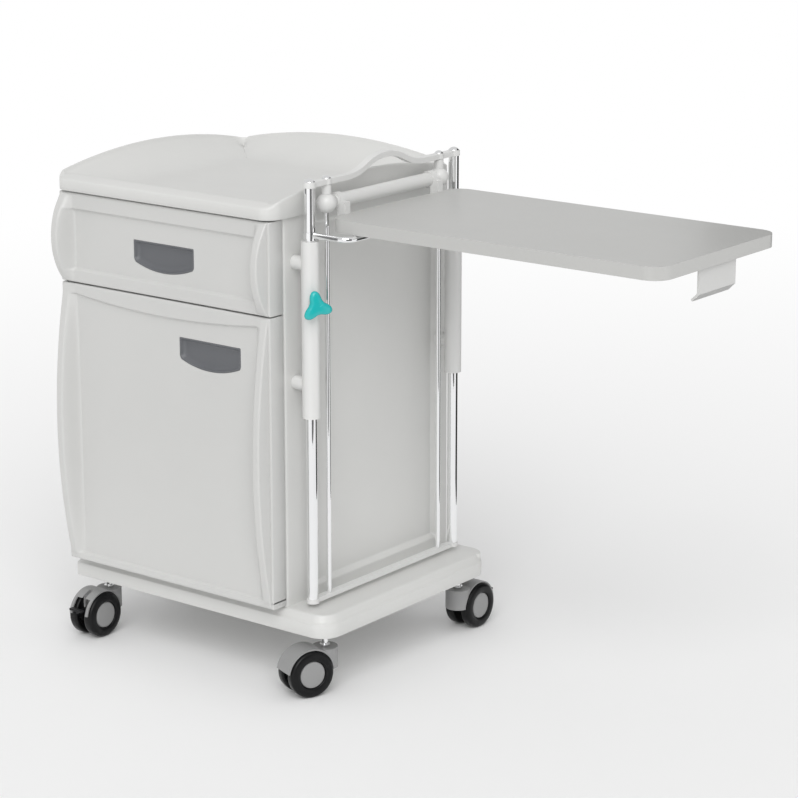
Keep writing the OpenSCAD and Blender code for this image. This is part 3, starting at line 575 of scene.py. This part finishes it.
def make_tray():
    """Tray top: a front lip and three arched galleries that sweep down to the floor."""
    x0, x1, y0, y1 = LEFT - 8, RIGHT + 8, -246.0, 212.0
    floor, base = WALL_TOP + 5, WALL_TOP
    mid_x, mid_y = (x0 + x1) / 2, (y0 + y1) / 2

    def arch(t, length):
        rise, half = 25.0, length / 2
        big = (half ** 2 + rise ** 2) / (2 * rise)
        return math.sqrt(max(0.0, big ** 2 - t ** 2)) - (big - rise)

    def crest(x, y):
        along_back = arch(min(abs(x - mid_x), (x1 - x0) / 2 - 8), x1 - x0 - 16)
        along_side = arch(min(abs(y - mid_y), (y1 - y0) / 2 - 8), y1 - y0 - 16)
        return WALL_TOP + 25 + (along_back if y > y1 - 1.5 else along_side)

    def blend(front, wall):
        def level(x, y):
            w = ease((y0 + 22 - y) / 22)
            zc = crest(x, y)
            di, zi = wall(zc)
            return front[0] * w + di * (1 - w), front[1] * w + zi * (1 - w)
        return level

    def sweep(d):
        return lambda zc: (d, floor + (zc - 4 - floor) * (1 - (d - 5) / 85) ** 2.3)

    levels = [
        blend((0.8, base), lambda zc: (0.8, base)),
        blend((0, base + 0.8), lambda zc: (0, base + 0.8)),
        blend((0, base + 15.6), lambda zc: (0, zc - 4)),
        blend((0.3, base + 17), lambda zc: (0.15, zc - 2.2)),
        blend((1.1, base + 18.3), lambda zc: (0.8, zc - 0.8)),
        blend((2.8, base + 19.3), lambda zc: (1.9, zc)),
        blend((9, base + 21.5), lambda zc: (3.0, zc - 0.4)),
        blend((16, base + 24.4), lambda zc: (3.9, zc - 1.6)),
        blend((19, base + 25.2), sweep(5)),
        blend((21.5, base + 24.6), sweep(9)),
        blend((25, base + 21), sweep(15)),
        blend((30, base + 14), sweep(22)),
        blend((36, base + 8.6), sweep(30)),
        blend((43, base + 6), sweep(40)),
        blend((52, base + 5.1), sweep(52)),
        blend((64, floor), sweep(66)),
        blend((78, floor), sweep(80)),
        blend((90, floor), lambda zc: (90, floor)),
    ]
    bm = stack_loops(rounded_loop(x0, x1, y0, y1, 26), levels)
    return put_away("top_tray_moulded", bm, "cabinet", "body_plastic", ("top_tray",), 50)


def make_base():
    """Base moulding: an upright rim, a hollowed band above it and a flat deck, open below."""
    x0, x1, y0, y1 = LEFT - 12, RIGHT + 87, WALL_FRONT - 10, WALL_BACK + 2
    low = 97.5

    def plain(inset, z):
        return lambda x, y: (inset, z)

    def band(inset, z, rear=2.0):
        """The same inset all round, but no more than rear along the back."""
        return lambda x, y: (min(inset, rear) if y > y1 - 20 and inset > rear else inset, z)

    levels = [
        plain(10, low + 22), plain(10, low + 1), plain(9, low), plain(2, low),
        plain(0.6, low + 0.5), plain(0, low + 2), plain(0, low + 21),
        band(0.4, low + 22.2), band(1.4, low + 23, 1.4), band(2.8, low + 23.8, 1.5),
        band(4.6, low + 26, 1.6), band(6.2, low + 29.5, 1.7), band(7.4, low + 33, 1.8),
        band(8.6, low + 35, 1.9), band(10.2, low + 35.8), band(12, low + 36),
    ]
    bm = stack_loops(rounded_loop(x0, x1, y0, y1, 34, left=6, corner=12, side=20), levels)
    return put_away("base_plate_moulded", bm, "cabinet", "body_plastic", ("base_plate",), 45)


make_tray()
make_base()


# ---- casters ----

def lathe(profile, steps=72):
    """Spins an (x, radius) profile about the X axis."""
    bm = bmesh.new()
    verts = [bm.verts.new((x, 0, r)) for x, r in profile]
    edges = [bm.edges.new(pair) for pair in zip(verts, verts[1:])]
    bmesh.ops.spin(bm, geom=verts + edges, cent=(0, 0, 0), axis=(1, 0, 0), angle=math.tau,
                   steps=steps, use_merge=True)
    settle(bm, 0.001)
    return bm


def at_joint(bm, joint, flip=1):
    """Moves a shape from its own frame, axis along +X, to a joint's place and axis."""
    x, y, _ = JOINTS[joint]["axis"]
    turn = Matrix.Rotation(math.atan2(y, x), 4, "Z")
    size = Matrix.Diagonal((flip * 0.001, 0.001, 0.001, 1))
    place = Matrix.Translation(JOINTS[joint]["pos_m"])
    bmesh.ops.transform(bm, matrix=place @ turn @ size, verts=bm.verts)
    bmesh.ops.recalc_face_normals(bm, faces=bm.faces)
    return bm


TYRE = [(7.7, 4.4), (7.7, 31), (7.9, 34.5), (8.6, 36.3), (10.2, 37.2), (12.5, 37.5), (19.5, 37.5),
        (21.8, 37.1), (23.6, 35.9), (24.8, 33.8), (25.3, 31), (25.35, 27.5), (25.0, 24.6), (24.2, 22.9),
        (22.8, 22.1), (21.2, 21.9), (21.0, 4.4)]
HUB = [(20.9, 4.4), (20.9, 21.5), (22.4, 21.4), (23.3, 20.9), (23.75, 19.8), (24.0, 16), (24.3, 8),
       (24.35, 3.0), (24.3, 0.0)]

for corner in ("fl", "fr", "rr", "rl"):
    for wheel, flip in (("a", 1), ("b", -1)):
        name = f"caster_{corner}_wheel_{wheel}"
        joint = f"caster_{corner}_roll_{wheel}"
        tyre = at_joint(lathe(TYRE), joint, flip)
        put_away(name + "_tyre", tyre, name + "_body", "wheel_tread", (name,), 40, scale_mm=False)
        hub = at_joint(lathe(HUB, 48), joint, flip)
        put_away(name + "_hub", hub, name + "_body", "caster_grey", (name,), 40, scale_mm=False)
    soften(f"caster_{corner}_housing", 1.1)
for node in ("caster_fl_pedal", "caster_rr_pedal"):
    soften(node, 0.6, 2)


# ---- clamp knob ----

def make_knob():
    """Three soft lobes round a raised middle."""
    lean, count = math.radians(12), 72
    middle, waist, lobe_reach = 16, 13.0, 12.3
    profile = [(21, 0.42, 0.0), (22.2, 0.50, 0.1), (23.4, 0.62, 0.5), (24.4, 0.84, 0.9), (25.6, 0.95, 1.0),
               (27.5, 1.0, 1.0), (30, 0.985, 1.0), (32, 0.93, 1.0), (33.6, 0.82, 0.9), (34.6, 0.66, 0.75),
               (35.0, 0.46, 0.55), (35.2, 0.24, 0.3), (35.25, 0.1, 0.0)]
    rings = []
    for x, size, lobe in profile:
        ring = []
        for k in range(count):
            a = math.tau * k / count
            reach = waist + lobe_reach * (0.5 + 0.5 * math.cos(3 * (a - lean))) ** 1.5
            r = size * (middle + (reach - middle) * lobe)
            ring.append((x, -r * math.sin(a), r * math.cos(a)))
        rings.append(ring)
    bm = loft(rings)
    at_joint(bm, "clamp_turn")
    return put_away("clamp_knob_moulded", bm, "clamp", "turquoise_plastic", ("clamp_knob",), 70,
                    scale_mm=False)


make_knob()


# ---- the rest of the frame's nodes, with rounded edges ----

for node, width in (("table_board", 1.6), ("guide_sleeves", 1.6), ("top_bar", 1.6), ("bottom_bar", 1.0),
                    ("tilt_brackets", 1.4), ("grip_hook", 0.7), ("tilt_tube", 1.0), ("rod_collars", 0.8),
                    ("cabinet_floor", 0.6), ("divider", 0.6), ("shelf", 0.8), ("drawer_box", 0.9),
                    ("back_panel", 0.5), ("door_liner", 0.6), ("door_catch", 0.8), ("runner_outers", 0.3),
                    ("runner_mids", 0.3), ("runner_inners", 0.3), ("door_pivots", 0.4)):
    soften(node, width, 3 if width > 0.9 else 2)
for node in ("lift_posts", "guide_rods", "support_loop", "slide_fittings", "end_caps", "caster_stems"):
    soften(node, 0.5, 2)


# ---- floor, light and camera ----

def plain_material(name, colour, rough):
    mat = bpy.data.materials.new(name)
    mat.use_nodes = True
    shader = mat.node_tree.nodes["Principled BSDF"]
    shader.inputs["Base Color"].default_value = (*colour, 1)
    shader.inputs["Roughness"].default_value = rough
    return mat


def make_floor():
    """Pale floor that fades to a white surround away from the middle."""
    bm = bmesh.new()
    bmesh.ops.create_grid(bm, x_segments=1, y_segments=1, size=20)
    floor = new_object("floor", bm)
    mat = plain_material("floor", (0.90, 0.90, 0.90), 0.9)
    tree = mat.node_tree
    away = tree.nodes.new("ShaderNodeVectorMath")
    away.operation = "LENGTH"
    tree.links.new(tree.nodes.new("ShaderNodeTexCoord").outputs["Object"], away.inputs[0])
    fade = tree.nodes.new("ShaderNodeMapRange")
    fade.interpolation_type = "SMOOTHSTEP"
    for socket, value in (("From Min", 0.9), ("From Max", 4.0)):
        fade.inputs[socket].default_value = value
    tree.links.new(away.outputs["Value"], fade.inputs["Value"])
    glow = tree.nodes.new("ShaderNodeEmission")
    glow.inputs["Strength"].default_value = 1.0
    mix = tree.nodes.new("ShaderNodeMixShader")
    tree.links.new(fade.outputs[0], mix.inputs[0])
    tree.links.new(tree.nodes["Principled BSDF"].outputs[0], mix.inputs[1])
    tree.links.new(glow.outputs[0], mix.inputs[2])
    tree.links.new(mix.outputs[0], tree.nodes["Material Output"].inputs["Surface"])
    floor.data.materials.append(mat)


def reflected_card(name, place, target, width, height, shade):
    """A dark panel that only the bright metal sees."""
    bm = bmesh.new()
    bmesh.ops.create_grid(bm, x_segments=1, y_segments=1, size=0.5)
    turn = (Vector(target) - Vector(place)).to_track_quat("Z", "Y").to_matrix().to_4x4()
    size = Matrix.Diagonal((width, height, 1, 1))
    bmesh.ops.transform(bm, matrix=Matrix.Translation(place) @ turn @ size, verts=bm.verts)
    card = new_object(name, bm)
    card.data.materials.append(plain_material(name, (shade, shade, shade), 1.0))
    card.visible_camera = card.visible_diffuse = card.visible_shadow = False


def make_world():
    """Soft studio surround, brighter near the horizon than overhead."""
    world = bpy.data.worlds.new("studio")
    world.use_nodes = True
    tree = world.node_tree
    way = tree.nodes.new("ShaderNodeTexCoord").outputs["Generated"]
    split = tree.nodes.new("ShaderNodeSeparateXYZ")
    tree.links.new(way, split.inputs[0])
    ramp = tree.nodes.new("ShaderNodeValToRGB")
    ramp.color_ramp.elements[0].position = 0.05
    ramp.color_ramp.elements[0].color = (0.70, 0.70, 0.70, 1)
    ramp.color_ramp.elements[1].position = 0.9
    ramp.color_ramp.elements[1].color = (0.66, 0.66, 0.66, 1)
    tree.links.new(split.outputs["Z"], ramp.inputs[0])
    tree.links.new(ramp.outputs[0], tree.nodes["Background"].inputs["Color"])
    bpy.context.scene.world = world


def sun_light(name, toward, spread, strength):
    data = bpy.data.lights.new(name, "SUN")
    data.angle = math.radians(spread)
    data.energy = strength
    light = bpy.data.objects.new(name, data)
    bpy.context.scene.collection.objects.link(light)
    light.rotation_mode = "QUATERNION"
    light.rotation_quaternion = Vector(toward).to_track_quat("-Z", "Y")


make_floor()
make_world()
sun_light("key", (-0.55, 0.75, -0.78), 45, 1.55)
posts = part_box("lift_posts")
beside = (posts[0] + posts[1]) / 2
card_raise, card_height = Vector((0, 0, 0.3)), 1.6
# name, angle from the front, distance, width, shade
CARDS = (("card_front_left", -38, 1.3, 0.8, 0.25), ("card_behind", 152, 0.85, 0.9, 0.02),
         ("card_right", 60, 1.5, 1.1, 0.18))
for name, angle, reach, width, shade in CARDS:
    a = math.radians(angle)
    target = beside + card_raise
    place = target + Vector((reach * math.sin(a), -reach * math.cos(a), 0))
    reflected_card(name, place, target, width, card_height, shade)
bpy.context.scene.view_settings.view_transform = "Standard"

CAMERA_AT, LOOKED_AT, LENS = mm(2718, -3205, 1517.5), mm(158.8, 106.7, 400), 119.8
camera_data = bpy.data.cameras.new("camera")
camera_data.lens = LENS
camera_data.sensor_width = 36
camera_data.clip_end = 100
camera = bpy.data.objects.new("camera", camera_data)
bpy.context.scene.collection.objects.link(camera)
camera.location = CAMERA_AT
look = LOOKED_AT - CAMERA_AT
camera.rotation_mode = "QUATERNION"
camera.rotation_quaternion = look.to_track_quat("-Z", "Y")
bpy.context.scene.camera = camera
